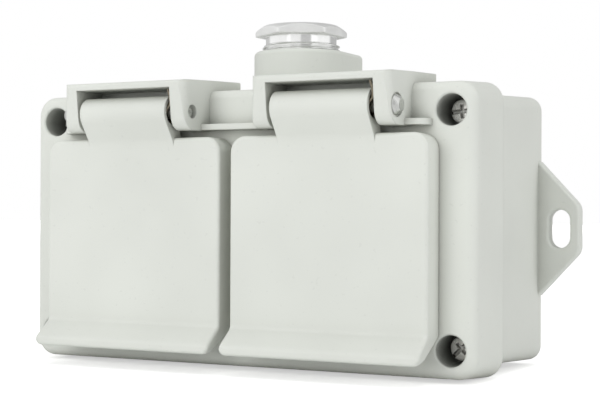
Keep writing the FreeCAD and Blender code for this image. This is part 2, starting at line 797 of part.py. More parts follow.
def earth_strap():
    """The bent strap with an earth finger at the top and bottom of the cup and a tail."""
    half = strap_width / 2
    inner = strap_finger_z
    outer = inner + strap_thickness
    back_y = strap_y + strap_thickness
    tip_y = cup_back_y - strap_finger_reach
    bow_y = tip_y + strap_bow_from_tip
    bend_y = tip_y + strap_bend_from_tip
    parts = [block(-half, half, strap_y, back_y, socket_z - outer, socket_z + outer)]
    for side in (-1, 1):
        line = [(back_y, inner), (bend_y, inner), (bow_y, inner - strap_bow), (tip_y, inner),
                (tip_y, outer), (bow_y, outer - strap_bow), (bend_y, outer), (back_y, outer)]
        parts.append(side_profile([(y, socket_z + side * z, 0) for y, z in line], -half, half))
    parts.append(block(-half, half, strap_y, base_back_y, strap_tail_z,
                       strap_tail_z + strap_thickness))
    parts.append(block(-half, half, strap_y, back_y, strap_tail_z, socket_z - inner))
    whole = join(parts)
    whole = whole.cut(rod_y(centre_screw_radius + loose, 0, strap_y - over, back_y + over,
                            socket_z))
    return whole.cut(rod_z(terminal_screw_radius + close, 0, strap_screw_y, strap_tail_z - over,
                           strap_tail_z + strap_thickness + over)).removeSplitter()


def slotted_screw(radius, length, head_radius, head_height, slot_width, slot_depth):
    """A cheese-head screw along +Y: the head lies in front of Y = 0."""
    head = rod_y(head_radius, 0, -head_height, 0, 0)
    head = chamfer_where(head, screw_head_edge, lambda b: flat_at(-head_height, b.YMin, b.YMax))
    head = head.cut(block(-head_radius - over, head_radius + over, -head_height - over,
                          -head_height + slot_depth, -slot_width / 2, slot_width / 2))
    return join([head, rod_y(radius, 0, -head_height / 4, length, 0)])


def terminal_screw(length):
    return slotted_screw(terminal_screw_radius, length, terminal_head_radius,
                         terminal_head_height, terminal_slot_width, terminal_slot_depth)


def terminal_screws():
    """The two pole screws, reached from behind, and the earth screw, reached from below."""
    screws = []
    pole_length = contact_depth / 2 - terminal_hole_radius + blind_reserve
    for side in (-1, 1):
        screw = terminal_screw(pole_length)
        screw.rotate(Vec(0, 0, 0), Vec(1, 0, 0), 180)
        screw.translate(Vec(side * plug_pin_spacing / 2, contact_back_y, terminal_z))
        screws.append(screw)
    earth = terminal_screw(strap_screw_length)
    earth.rotate(Vec(0, 0, 0), Vec(1, 0, 0), 90)
    earth.translate(Vec(0, strap_screw_y, strap_tail_z))
    screws.append(earth)
    return Part.makeCompound(screws)


def centre_screw():
    """The countersunk screw in the floor of the cup that holds the contact block."""
    head_y = cup_floor_y + centre_head_sunk
    head = Part.makeCone(centre_head_radius, centre_screw_radius, centre_head_height,
                         Vec(0, head_y, socket_z), Vec(0, 1, 0))
    slot = block(-centre_head_radius, centre_head_radius, head_y - over,
                 head_y + terminal_slot_depth, socket_z - terminal_slot_width / 2,
                 socket_z + terminal_slot_width / 2)
    shaft = rod_y(centre_screw_radius, 0, head_y + terminal_slot_depth,
                  cup_floor_y + centre_screw_length, socket_z)
    return join([head, shaft]).cut(slot)


def socket_screws():
    """Two screws on one diagonal that hold the cup's flange to the cover's posts."""
    screws = []
    for side in (-1, 1):
        screw = slotted_screw(post_screw_radius, post_screw_length, post_screw_head_radius,
                              post_screw_head_height, terminal_slot_width, terminal_slot_depth)
        screw.rotate(Vec(0, 0, 0), Vec(1, 0, 0), 180)
        screw.translate(Vec(side * post_spacing / 2, flange_back_y,
                            socket_z + side * post_spacing / 2))
        screws.append(screw)
    return Part.makeCompound(screws)


def cover_screws():
    screws = []
    seat_y = face_y + counterbore_depth - screw_washer_thickness
    length = box_front_y + screw_grip - seat_y
    for x, z in corner_places(screw_x, screw_z):
        screw = slotted_screw(screw_radius, length, screw_head_radius, screw_head_height,
                              screw_slot_width, screw_slot_depth)
        cross = block(-screw_slot_width / 2, screw_slot_width / 2, -screw_head_height - over,
                      -screw_head_height + screw_slot_depth,
                      -screw_cross_length / 2, screw_cross_length / 2)
        screw = screw.cut(cross)
        screw.translate(Vec(x, seat_y, z))
        screws.append(screw)
    return Part.makeCompound(screws)


def cover_screw_washers():
    """Sealing washers under the heads of the cover screws."""
    washers = []
    back_y = face_y + counterbore_depth
    front_y = back_y - screw_washer_thickness
    for x, z in corner_places(screw_x, screw_z):
        washer = rod_y(screw_washer_radius, x, front_y, back_y, z)
        washers.append(washer.cut(rod_y(screw_radius + close, x, front_y - over, back_y + over, z)))
    return Part.makeCompound(washers)


def gland_screw():
    """The hollow compression screw with a hexagon head, half screwed in."""
    corner_radius = gland_flats / 2 / math.cos(math.radians(30))
    top_z = gland_head_z + gland_head_height
    shoulder_z = top_z - gland_head_edge
    points = []
    for i in range(6):
        turn = math.radians(60 * i + gland_turn)
        points.append(Vec(corner_radius * math.cos(turn), corner_radius * math.sin(turn),
                          gland_head_z))
    hexagon = Part.Face(Part.makePolygon(points + points[:1])).extrude(Vec(0, 0, gland_head_height))
    dome = Part.makeCone(corner_radius, gland_top_radius, gland_head_edge,
                         Vec(0, 0, shoulder_z), Vec(0, 0, 1))
    dome = dome.fuse(rod_z(corner_radius, 0, 0, gland_head_z - over, shoulder_z))
    neck = rod_z(gland_neck_radius, 0, 0, gland_neck_z - root, gland_head_z)
    thread = rod_z(thread_radius - thread_clearance, 0, 0, gland_low_z, gland_neck_z)
    thread = chamfer_where(thread, gland_thread_edge, lambda b: flat_at(b.ZMin, b.ZMin, b.ZMax))
    whole = join([hexagon.common(dome), neck, thread])
    whole = whole.cut(rod_z(gland_bore_radius, 0, 0, gland_low_z - over, top_z + over))
    whole = whole.cut(Part.makeCone(gland_bore_radius, gland_bore_radius + gland_bore_edge,
                                    gland_bore_edge, Vec(0, 0, top_z - gland_bore_edge),
                                    Vec(0, 0, 1)))
    whole.translate(Vec(0, entry_y, 0))
    return whole.removeSplitter()


def entry_ring(inner, z0, z1):
    """A ring that lies loose in the cable entry."""
    ring = rod_z(thread_radius - gland_ring_clearance, 0, entry_y, z0, z1)
    return ring.cut(rod_z(inner, 0, entry_y, z0 - over, z1 + over))


def gland_washer():
    return entry_ring(gland_bore_radius, gland_low_z - gland_washer_thickness, gland_low_z)


def gland_disc():
    """The thin disc that closes the entry until a cable is fitted."""
    top_z = gland_low_z - gland_washer_thickness
    return rod_z(thread_radius - gland_ring_clearance, 0, entry_y,
                 top_z - gland_disc_thickness, top_z)


def gland_seal():
    top_z = gland_low_z - gland_washer_thickness - gland_disc_thickness
    return entry_ring(gland_bore_radius, entry_floor_z, top_z)


def earth_terminal_screw():
    screw = slotted_screw(earth_screw_radius, earth_screw_length, earth_head_radius,
                          earth_head_height, screw_slot_width, screw_slot_depth)
    screw.translate(Vec(0, earth_post_front_y - earth_clamp_thickness, earth_post_z))
    return screw


def earth_clamp():
    """The square clamp plate under the earth screw."""
    half = earth_clamp_size / 2
    back_y = earth_post_front_y
    plate = rounded_slab(half, half, earth_clamp_corner, back_y - earth_clamp_thickness, back_y)
    plate.translate(Vec(0, 0, earth_post_z))
    return plate.cut(rod_y(earth_screw_radius + close, 0, back_y - earth_clamp_thickness - over,
                           back_y + over, earth_post_z))


def save(name, shape):
    shape.exportStep(os.path.join("parts", name + ".step"))


def build():
    os.makedirs("parts", exist_ok=True)
    save("front_cover", front_cover())
    save("back_box", back_box())
    save("cover_gasket", cover_gasket())
    save("cover_screws", cover_screws())
    save("cover_screw_washers", cover_screw_washers())
    save("gland_screw", gland_screw())
    save("gland_washer", gland_washer())
    save("gland_disc", gland_disc())
    save("gland_seal", gland_seal())
    save("earth_terminal_screw", earth_terminal_screw())
    save("earth_clamp", earth_clamp())
    repeated = {
        "lid": lid(),
        "lid_seal": lid_seal(),
        "lid_spring": lid_spring(),
        "socket_cup": socket_cup(),
        "contact_base": contact_base(),
        "live_contact": pole_contact(1),
        "neutral_contact": pole_contact(-1),
        "earth_strap": earth_strap(),
        "terminal_screws": terminal_screws(),
        "centre_screw": centre_screw(),
        "socket_screws": socket_screws(),
    }
    for side, centre_x in socket_centres.items():
        for name, shape in repeated.items():
            save(side + "_" + name, shape.translated(Vec(centre_x, 0, 0)))
        pin = hinge_pin(math.copysign(1, centre_x))
        save(side + "_hinge_pin", pin.translated(Vec(centre_x, 0, 0)))


build()
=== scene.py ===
import math

import bmesh
import bpy
from mathutils import Matrix, Vector


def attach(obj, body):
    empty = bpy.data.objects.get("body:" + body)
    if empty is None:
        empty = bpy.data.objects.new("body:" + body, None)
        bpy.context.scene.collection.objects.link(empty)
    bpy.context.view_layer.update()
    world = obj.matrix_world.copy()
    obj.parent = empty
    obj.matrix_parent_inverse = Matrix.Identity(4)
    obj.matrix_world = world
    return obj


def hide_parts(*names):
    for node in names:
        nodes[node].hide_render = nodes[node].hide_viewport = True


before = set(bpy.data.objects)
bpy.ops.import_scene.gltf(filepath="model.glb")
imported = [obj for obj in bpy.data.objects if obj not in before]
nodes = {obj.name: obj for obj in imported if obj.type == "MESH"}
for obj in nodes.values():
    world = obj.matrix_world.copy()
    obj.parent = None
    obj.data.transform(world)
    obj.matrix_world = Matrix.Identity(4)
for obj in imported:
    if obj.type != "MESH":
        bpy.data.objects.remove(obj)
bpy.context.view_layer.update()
MM = 0.001

# Places that the solids give, in millimetres
LID_X = {"left": -33.0, "right": 33.0}
PIN_Y = -71.8
PIN_Z = 34.6
GLAND_Y = -22.4
FLOOR_Z = -42.7


# Node materials


class Tree:
    """A small helper that adds nodes to one material and links them."""

    def __init__(self, name):
        self.material = bpy.data.materials.new(name)
        self.material.use_nodes = True
        self.nodes = self.material.node_tree.nodes
        self.links = self.material.node_tree.links
        self.shader = self.nodes["Principled BSDF"]
        self.coords = self.nodes.new("ShaderNodeTexCoord").outputs["Object"]

    def put(self, socket, value):
        if isinstance(value, bpy.types.NodeSocket):
            self.links.new(value, socket)
        else:
            socket.default_value = value

    def add(self, kind, inputs=(), **settings):
        node = self.nodes.new(kind)
        for key, value in settings.items():
            setattr(node, key, value)
        for key, value in dict(inputs).items():
            self.put(node.inputs[key], value)
        return node

    def noise(self, scale, detail=3.0, rough=0.55, vector=None, distortion=0.0):
        return self.add("ShaderNodeTexNoise", {
            "Vector": vector or self.coords, "Scale": scale, "Detail": detail,
            "Roughness": rough, "Distortion": distortion}).outputs["Fac"]

    def math(self, op, a, b=0.0):
        return self.add("ShaderNodeMath", {0: a, 1: b}, operation=op).outputs[0]

    def spread(self, value, low, high, to_low, to_high):
        return self.add("ShaderNodeMapRange", {
            "Value": value, "From Min": low, "From Max": high,
            "To Min": to_low, "To Max": to_high}).outputs["Result"]

    def mix(self, factor, a, b):
        node = self.add("ShaderNodeMix", data_type="RGBA")
        self.put(node.inputs[0], factor)
        self.put(node.inputs[6], a)
        self.put(node.inputs[7], b)
        return node.outputs[2]

    def bump(self, height, distance, strength, normal):
        return self.add("ShaderNodeBump", {
            "Height": height, "Distance": distance, "Strength": strength,
            "Normal": normal}).outputs["Normal"]

    def soft_edge(self, radius):
        return self.add("ShaderNodeBevel", {"Radius": radius}, samples=6).outputs["Normal"]

    def crevice(self, distance, own=False):
        """1 in the open, towards 0 in a narrow corner; own leaves other pieces out."""
        return self.add("ShaderNodeAmbientOcclusion", {"Distance": distance},
                        samples=6, only_local=own).outputs["AO"]

    def round_about(self, along, first, second):
        """Coordinates (radius, height, 0) about an axis, for marks left by turning. The axis
        runs along X or Z, and first and second are its place on the other two."""
        parts = self.add("ShaderNodeSeparateXYZ", {0: self.coords}).outputs
        across = [part for part in "XYZ" if part != along]
        a = self.math("SUBTRACT", parts[across[0]], first)
        b = self.math("SUBTRACT", parts[across[1]], second)
        square = self.math("ADD", self.math("MULTIPLY", a, a), self.math("MULTIPLY", b, b))
        radius = self.math("SQRT", square)
        return self.add("ShaderNodeCombineXYZ", {0: radius, 1: parts[along]}).outputs[0]

    def finish(self, color, rough, normal=None, metallic=0.0, specular=0.5):
        self.put(self.shader.inputs["Base Color"], color)
        self.put(self.shader.inputs["Roughness"], rough)
        self.shader.inputs["Metallic"].default_value = metallic
        self.shader.inputs["Specular IOR Level"].default_value = specular
        if normal:
            self.links.new(normal, self.shader.inputs["Normal"])
        return self.material


def shade(tone, *factors):
    """The tone times one factor, or times one for each channel, as a node's colour."""
    if len(factors) == 1:
        factors = factors * 3
    return tuple(min(1.0, c * f) for c, f in zip(tone, factors)) + (1.0,)


def paint(name, tone, edge=0.5 * MM):
    """Satin powder coat on a casting: orange peel, a slow waviness, painted shade in the corners
    and hollows.
    """
    t = Tree(name)
    slow = t.noise(22.0, 2.0)
    fine = t.noise(420.0, 3.0, 0.6)
    grain = t.noise(1500.0, 2.0, 0.5)
    color = t.mix(t.spread(slow, 0.35, 0.65, 0.0, 1.0), shade(tone, 0.965), shade(tone, 1.025))
    specks = t.spread(t.noise(900.0, 1.0), 0.70, 0.76, 0.0, 0.35)
    color = t.mix(specks, color, shade(tone, 0.86))
    # Painted shade: darker in corners, where nearby parts and the floor close in.
    corner = t.spread(t.crevice(5.0 * MM), 0.25, 0.92, 0.60, 0.0)
    color = t.mix(corner, color, shade(tone, 0.66, 0.65, 0.62))
    # Painted shade: much darker deep in holes and under the hoods' roofs.
    hollow = t.spread(t.crevice(12.0 * MM, own=True), 0.08, 0.56, 0.90, 0.0)
    color = t.mix(hollow, color, shade(tone, 0.16, 0.165, 0.16))
    rough = t.spread(t.math("ADD", slow, fine), 0.7, 1.3, 0.40, 0.52)
    normal = t.soft_edge(edge)
    normal = t.bump(t.noise(45.0, 1.0), 0.10 * MM, 0.5, normal)
    normal = t.bump(fine, 0.030 * MM, 0.5, normal)
    normal = t.bump(grain, 0.012 * MM, 0.5, normal)
    return t.finish(color, rough, normal, specular=0.42)


def metal(name, tone, rough, spots=0.06, axis=None, edge=0.15 * MM, marks=0.5, satin=None,
          recess_shade=0.8, bare=1.0):
    """Bare or plated metal. Spots is how far its tone varies, and marks how deep its fine
    scratches are; an axis turns them into rings. Satin is a pair, a height and a roughness,
    for what lies above that height. Painted shade darkens its own recesses, as far as asked,
    and bare is the share of clean metal in a dull plating."""
    t = Tree(name)
    cloud = t.noise(160.0, 3.0)
    color = t.mix(t.spread(cloud, 0.3, 0.7, 0.0, 1.0),
                  shade(tone, 1 - spots), shade(tone, 1 + spots / 2))
    # Painted shade: its own recesses, such as a screw's cross slot, darken towards a quarter of
    # its tone.
    corner = t.spread(t.crevice(2.2 * MM, own=True), 0.2, 0.8, recess_shade, 0.0)
    color = t.mix(corner, color, shade(tone, 0.25))
    if axis:
        scratches = t.noise(5200.0, 2.0, 0.7, vector=t.round_about(*axis))
    else:
        scratches = t.noise(900.0, 3.0, 0.6)
    rough_out = t.spread(t.math("ADD", scratches, cloud), 0.7, 1.3, rough * 0.75, rough * 1.3)
    if satin:
        height = t.add("ShaderNodeSeparateXYZ", {0: t.coords}).outputs["Z"]
        extra = t.spread(height, satin[0], satin[0] + 0.1 * MM, 0.0, satin[1] - rough)
        rough_out = t.math("ADD", rough_out, extra)
    normal = t.bump(scratches, 0.008 * MM, marks, t.soft_edge(edge))
    return t.finish(color, rough_out, normal, metallic=bare)


def plastic(name, tone, rough):
    """Moulded plastic with a fine spark-eroded grain and faint flow marks."""
    t = Tree(name)
    flow = t.noise(70.0, 2.0, 0.5, distortion=0.6)
    color = t.mix(t.spread(flow, 0.35, 0.65, 0.0, 1.0), shade(tone, 0.92), shade(tone, 1.06))
    # Painted shade: darker in corners, where nearby parts close in.
    corner = t.spread(t.crevice(2.0 * MM), 0.2, 0.8, 0.3, 0.0)
    color = t.mix(corner, color, shade(tone, 0.6))
    rough_out = t.spread(flow, 0.3, 0.7, rough * 0.9, rough * 1.12)
    normal = t.bump(t.noise(1800.0, 2.0), 0.012 * MM, 0.4, t.soft_edge(0.3 * MM))
    return t.finish(color, rough_out, normal)


def rubber(name, tone, rough=0.62):
    """Moulded rubber with a bloom of lighter dust and a matt grain."""
    t = Tree(name)
    bloom = t.noise(240.0, 4.0, 0.65)
    dust = shade([c * 1.9 + 0.01 for c in tone], 1.0)
    color = t.mix(t.spread(bloom, 0.45, 0.75, 0.0, 0.5), shade(tone, 1.0), dust)
    rough_out = t.spread(bloom, 0.3, 0.7, rough - 0.06, rough + 0.08)
    normal = t.bump(t.noise(1300.0, 3.0), 0.02 * MM, 0.6, t.soft_edge(0.25 * MM))
    return t.finish(color, rough_out, normal, specular=0.4)


GREY = (0.715, 0.735, 0.688)
GLAND_AXIS = ("Z", 0.0, GLAND_Y * MM)
PIN_AXIS = ("X", PIN_Y * MM, PIN_Z * MM)
finishes = {
    "paint_cover": paint("paint_cover", GREY),
    "paint_box": paint("paint_box", [c * 0.985 for c in GREY]),
    "paint_lid": paint("paint_lid", [c * 1.01 for c in GREY], edge=0.35 * MM),
    "gland_metal": metal("gland_metal", (0.91, 0.915, 0.905), 0.12, axis=GLAND_AXIS,
                         edge=0.06 * MM, marks=0.06, satin=(61.5 * MM, 0.5), recess_shade=0.3),
    "screw_steel": metal("screw_steel", (1.0, 0.985, 0.92), 0.24, marks=0.08, recess_shade=1.0,
                         bare=0.3),
    "pin_steel": metal("pin_steel", (0.66, 0.67, 0.65), 0.27, axis=PIN_AXIS, marks=0.12),
    "spring_steel": metal("spring_steel", (0.30, 0.265, 0.20), 0.45),
    "washer_steel": metal("washer_steel", (0.66, 0.66, 0.64), 0.34),
    "brass": metal("brass", (0.80, 0.58, 0.27), 0.26, spots=0.1),
    "strap_metal": metal("strap_metal", (0.74, 0.73, 0.69), 0.30),
    "black_rubber": rubber("black_rubber", (0.018, 0.018, 0.018)),
    "dark_rubber": rubber("dark_rubber", (0.05, 0.045, 0.04)),
    "cup_plastic": plastic("cup_plastic", (0.022, 0.022, 0.024), 0.36),
    "base_plastic": plastic("base_plastic", (0.66, 0.62, 0.53), 0.5),
    "disc_plastic": plastic("disc_plastic", (0.36, 0.36, 0.34), 0.45),
}

wears = {
    "front_cover": "paint_cover", "back_box": "paint_box", "cover_gasket": "black_rubber",
    "cover_screws": "screw_steel", "cover_screw_washers": "dark_rubber",
    "gland_screw": "gland_metal", "gland_washer": "washer_steel",
    "gland_disc": "disc_plastic", "gland_seal": "black_rubber",
    "earth_terminal_screw": "brass", "earth_clamp": "brass",
}
wears_on_each_side = {
    "lid": "paint_lid", "lid_seal": "black_rubber", "hinge_pin": "pin_steel",
    "lid_spring": "spring_steel", "socket_cup": "cup_plastic", "contact_base": "base_plastic",
    "live_contact": "brass", "neutral_contact": "brass", "earth_strap": "strap_metal",
    "terminal_screws": "screw_steel", "centre_screw": "screw_steel",
    "socket_screws": "screw_steel",
}
for side in LID_X:
    for name, finish in wears_on_each_side.items():
        wears[side + "_" + name] = finish

for name, finish in wears.items():
    nodes[name].data.materials.clear()
    nodes[name].data.materials.append(finishes[finish])


# Mesh helpers


def mesh_object(name, points, faces, finish, sharp):
    """An object of points in millimetres; edges that turn by less than sharp are smooth."""
    mesh = bpy.data.meshes.new(name)
    mesh.from_pydata([Vector(p) * MM for p in points], [], faces)
    build = bmesh.new()
    build.from_mesh(mesh)
    bmesh.ops.recalc_face_normals(build, faces=build.faces)
    limit = math.radians(sharp)
    for edge in build.edges:
        edge.smooth = len(edge.link_faces) == 2 and edge.calc_face_angle(0.0) < limit
    for face in build.faces:
        face.smooth = True
    build.to_mesh(mesh)
    build.free()
    obj = bpy.data.objects.new(name, mesh)
    bpy.context.scene.collection.objects.link(obj)
    mesh.materials.append(finishes[finish])
    return obj


def ring_faces(rows, columns, closed_rows=True):
    """Quads of a grid that closes round its columns, and round its rows if asked."""
    faces = []
    last = rows if closed_rows else rows - 1
    for i in range(last):
        j = (i + 1) % rows
        for k in range(columns):
            m = (k + 1) % columns
            faces.append((i * columns + k, i * columns + m, j * columns + m, j * columns + k))
    return faces


def rod_faces(rows, columns):
    """Quads of a grid that closes round its columns, with a flat face at each end."""
    start = (rows - 1) * columns
    ends = [tuple(range(columns)), tuple(start + k for k in range(columns))]
    return ring_faces(rows, columns, closed_rows=False) + ends


def soft_min(a, b, blend):
    """The lesser of two lengths, with the corner between them rounded."""
    if abs(a - b) >= blend:
        return min(a, b)
    share = (blend - abs(a - b)) / blend
    return min(a, b) - share * share * blend / 4


# The gland screw

# Heights along Z and radii, in millimetres
HEAD_Z = 61.6
HEAD_TOP = 65.2
HEAD_FLAT = 13.0
HEAD_CORNER = 15.01
HEAD_FACE = 12.0
CONE_HEIGHT = 1.9
NECK_Z = 58.9
NECK_RADIUS = 11.5
RUN_OUT_RADIUS = 11.45
LOW_Z = 49.2
BORE_RADIUS = 8.5
PITCH = 1.3
CREST_Z = 58.6
CREST = 12.62
THREAD_DEPTH = 0.65
THREAD_ROWS = 112
HEAD_TURN = math.radians(27.0)


def hexagon_radius(angle):
    sector = math.radians(60.0)
    local = (angle - HEAD_TURN) % sector - sector / 2
    other = sector / 2 - abs(local)
    reach = HEAD_FLAT / math.cos(local)
    beyond = HEAD_FLAT / math.cos(sector / 2 + other) if other < 0.25 else 1e9
    return soft_min(reach, beyond, 0.5)


def thread_radius(angle, z):
    """Crest and root of a right-hand thread, fading out into the neck."""
    turn = (z - CREST_Z) / PITCH - (angle - HEAD_TURN) / (2 * math.pi)
    wave = abs((turn % 1.0) - 0.5) * 2
    rise = min(max((wave - 0.12) / 0.72, 0.0), 1.0)
    fade = min(max((NECK_Z - z) / 0.25 + 0.5, 0.0), 1.0)
    start = min(max((z - LOW_Z) / 0.9, 0.0), 1.0)
    root = RUN_OUT_RADIUS + (CREST - THREAD_DEPTH - RUN_OUT_RADIUS) * fade
    return (root + THREAD_DEPTH * rise * fade) * (0.955 + 0.045 * start)


def head_radius(angle, share, height):
    """The hexagon, a share of its full width, cut by the cone of the head's top."""
    below_top = HEAD_TOP - HEAD_Z - height
    cone = HEAD_FACE + below_top * (HEAD_CORNER - HEAD_FACE) / CONE_HEIGHT
    return soft_min(hexagon_radius(angle) * share, cone, 0.45)


def gland_screw():
    """A hollow screw, as rows of a radius by angle and a height: up the thread, the neck and
    the head, and down the bore. Close rows keep the neck's shading straight."""
    columns = 216
    rows = []
    for i in range(THREAD_ROWS + 1):
        z = LOW_Z + (NECK_Z + 0.15 - LOW_Z) * i / THREAD_ROWS
        rows.append((lambda a, z=z: thread_radius(a, z), z))
    for radius, z in ((RUN_OUT_RADIUS, NECK_Z + 0.2), (NECK_RADIUS, NECK_Z + 0.26),
                      (NECK_RADIUS, NECK_Z + 0.3), (NECK_RADIUS, NECK_Z + 0.34),
                      (NECK_RADIUS, HEAD_Z - 0.28), (NECK_RADIUS, HEAD_Z - 0.24),
                      (NECK_RADIUS, HEAD_Z - 0.2), (11.58, HEAD_Z - 0.08), (11.8, HEAD_Z),
                      (12.35, HEAD_Z + 0.01)):
        rows.append((lambda a, r=radius: r, z))
    for share, height in ((0.972, 0.02), (0.988, 0.08), (0.997, 0.22), (1.0, 0.45), (1.0, 0.8),
                          (1.0, 1.15), (1.0, 1.5), (1.0, 1.8), (1.0, 2.1), (1.0, 2.4),
                          (1.0, 2.7), (1.0, 2.95), (1.0, 3.15), (1.0, 3.3), (1.0, 3.42),
                          (1.0, 3.5)):
        rows.append((lambda a, s=share, h=height: head_radius(a, s, h), HEAD_Z + height))
    for radius, height in ((11.93, 3.56), (11.75, 3.6), (10.6, 3.6), (9.45, 3.6), (9.3, 3.57),
                           (8.62, 2.9), (BORE_RADIUS, 2.7), (BORE_RADIUS, -4.0),
                           (BORE_RADIUS, -12.2), (8.62, -12.38)):
        rows.append((lambda a, r=radius: r, HEAD_Z + height))
    points = []
    for radius_at, z in rows:
        for k in range(columns):
            angle = 2 * math.pi * k / columns
            radius = radius_at(angle)
            points.append((radius * math.cos(angle), GLAND_Y + radius * math.sin(angle), z))
    obj = mesh_object("gland_screw_threaded", points, ring_faces(len(rows), columns),
                      "gland_metal", 35.0)
    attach(obj, "housing")
    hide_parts("gland_screw")


gland_screw()


# Cover screws

# The place across and up, and the turn of the recess in radians
COVER_SCREWS = ((-67.6, 33.5, 0.5), (67.6, 33.5, 0.08), (67.6, -33.5, 0.75), (-67.6, -33.5, 0.9))
SEAT_Y = -51.9
SCREW_END_Y = -28.5
SCREW_HEAD_RADIUS = 3.5
SCREW_HEAD_HEIGHT = 2.6


def head_recess(x, z):
    """Depth of the recess at a point of the head: a slot right across and a cross arm."""
    slot = min((0.60 - abs(z)) / 0.14, 1.0) * 1.4
    arm = min((0.60 - 0.05 * abs(z) - abs(x)) / 0.16, (2.1 - abs(z)) / 0.5, 1.0)
    return max(slot, arm * (1.6 - 0.25 * abs(z)), 0.0)


def crown_height(radius):
    """How far the pan head stands above its seat, falling faster near its rim."""
    fall = 0.45 * (radius / SCREW_HEAD_RADIUS) ** 2
    rim = 0.55 * max(0.0, (radius - 3.0) / 0.5) ** 2
    return SCREW_HEAD_HEIGHT - fall - rim


def screw_head(name, cx, cz, turn):
    """A pan head on its shaft, as a lathe form whose top carries the recess."""
    columns = 72
    points = []
    radii = [0.15 * i for i in range(1, 22)] + [3.25, 3.38, 3.46, SCREW_HEAD_RADIUS]
    for radius in radii:
        for k in range(columns):
            a = 2 * math.pi * k / columns
            x, z = radius * math.cos(a), radius * math.sin(a)
            u = x * math.cos(turn) + z * math.sin(turn)
            v = z * math.cos(turn) - x * math.sin(turn)
            points.append((cx + x, SEAT_Y - crown_height(radius) + head_recess(u, v), cz + z))
    shaft = ((SCREW_HEAD_RADIUS, SEAT_Y - 0.25), (3.35, SEAT_Y - 0.02), (2.1, SEAT_Y - 0.02),
             (2.0, SEAT_Y + 0.2), (2.0, SCREW_END_Y - 0.6), (1.6, SCREW_END_Y))
    for radius, y in shaft:
        for k in range(columns):
            a = 2 * math.pi * k / columns
            points.append((cx + radius * math.cos(a), y, cz + radius * math.sin(a)))
    count = len(radii) + len(shaft)
    faces = ring_faces(count, columns, closed_rows=False)
    points.append((cx, SEAT_Y - SCREW_HEAD_HEIGHT + head_recess(0, 0), cz))
    points.append((cx, SCREW_END_Y, cz))
    top, bottom = len(points) - 2, len(points) - 1
    base = (count - 1) * columns
    for k in range(columns):
        m = (k + 1) % columns
        faces.append((top, m, k))
        faces.append((bottom, base + k, base + m))
    return mesh_object(name, points, faces, "screw_steel", 38.0)


for index, (x, z, turn) in enumerate(COVER_SCREWS):
    screw = screw_head("cover_screw_" + str(index + 1), x, z, turn)
    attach(screw, "housing")
    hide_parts("cover_screws")


# Hinge pins

# The radius and the distance from the lid's middle, towards the pin's head
PIN_PROFILE = ((0.45, -20.9), (0.55, -21.15), (1.62, -21.2), (1.95, -20.95), (2.0, -20.8),
               (2.0, 21.5), (2.05, 21.74), (2.92, 21.75), (3.0, 21.83), (3.0, 21.98),
               (2.93, 22.1), (1.95, 23.42), (1.8, 23.52), (1.6, 23.55), (0.4, 23.5))


def hinge_pin(side, outward):
    """A pin with a coned button head outside and a plain end, sunk in its hole, inside."""
    columns = 56
    points = []
    for radius, along in PIN_PROFILE:
        for k in range(columns):
            a = 2 * math.pi * k / columns
            points.append((LID_X[side] + outward * along, PIN_Y + radius * math.cos(a),
                           PIN_Z + radius * math.sin(a)))
    obj = mesh_object(side + "_hinge_pin_turned", points, rod_faces(len(PIN_PROFILE), columns),
                      "pin_steel", 30.0)
    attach(obj, "housing")
    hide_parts(side + "_hinge_pin")


hinge_pin("left", -1)
hinge_pin("right", 1)


# Lid springs

# In millimetres, along X from the lid's middle; steps are those of one turn
COIL_RADIUS = 2.85
WIRE_RADIUS = 0.43
COIL_TURNS = 11.5
COIL_PITCH = 0.9
COIL_STEPS = 28
BARREL_END = 15.1
LEG_X = 16.15
LEG_TOP_Z = 41.3


def tube(name, path, radius, finish, around=10):
    """A round wire along a list of points."""
    points = []
    normal = None
    for i, here in enumerate(path):
        ahead = path[min(i + 1, len(path) - 1)] - path[max(i - 1, 0)]
        ahead.normalize()
        if normal is None:
            normal = ahead.orthogonal().normalized()
        normal = (normal - ahead * normal.dot(ahead)).normalized()
        other = ahead.cross(normal)
        for k in range(around):
            a = 2 * math.pi * k / around
            points.append(here + (normal * math.cos(a) + other * math.sin(a)) * radius)
    return mesh_object(name, points, rod_faces(len(path), around), finish, 60.0)


def lid_spring(side):
    """The wound torsion spring, with its leg up to the roof of the hood."""
    cx = LID_X[side]
    end = cx + BARREL_END - WIRE_RADIUS
    path = []
    steps = int(COIL_TURNS * COIL_STEPS)
    for i in range(steps + 1):
        left = 1 - i / steps
        angle = math.pi - 2 * math.pi * COIL_TURNS * left
        path.append(Vector((end - COIL_PITCH * COIL_TURNS * left,
                            PIN_Y + COIL_RADIUS * math.cos(angle),
                            PIN_Z + COIL_RADIUS * math.sin(angle))))
    leg_x = cx + LEG_X
    leg_y = PIN_Y - COIL_RADIUS
    path.append(Vector((end + 0.25, leg_y, PIN_Z + 0.9)))
    path.append(Vector((leg_x - 0.15, leg_y, PIN_Z + 1.8)))
    path.append(Vector((leg_x, leg_y, PIN_Z + 2.8)))
    path.append(Vector((leg_x - 0.15, leg_y, PIN_Z + 4.6)))
    path.append(Vector((leg_x - 0.8, leg_y - 0.1, LEG_TOP_Z)))
    obj = tube(side + "_lid_spring_wound", path, WIRE_RADIUS, "spring_steel")
    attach(obj, "housing")
    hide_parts(side + "_lid_spring")


for side in LID_X:
    lid_spring(side)


# Floor, light, camera


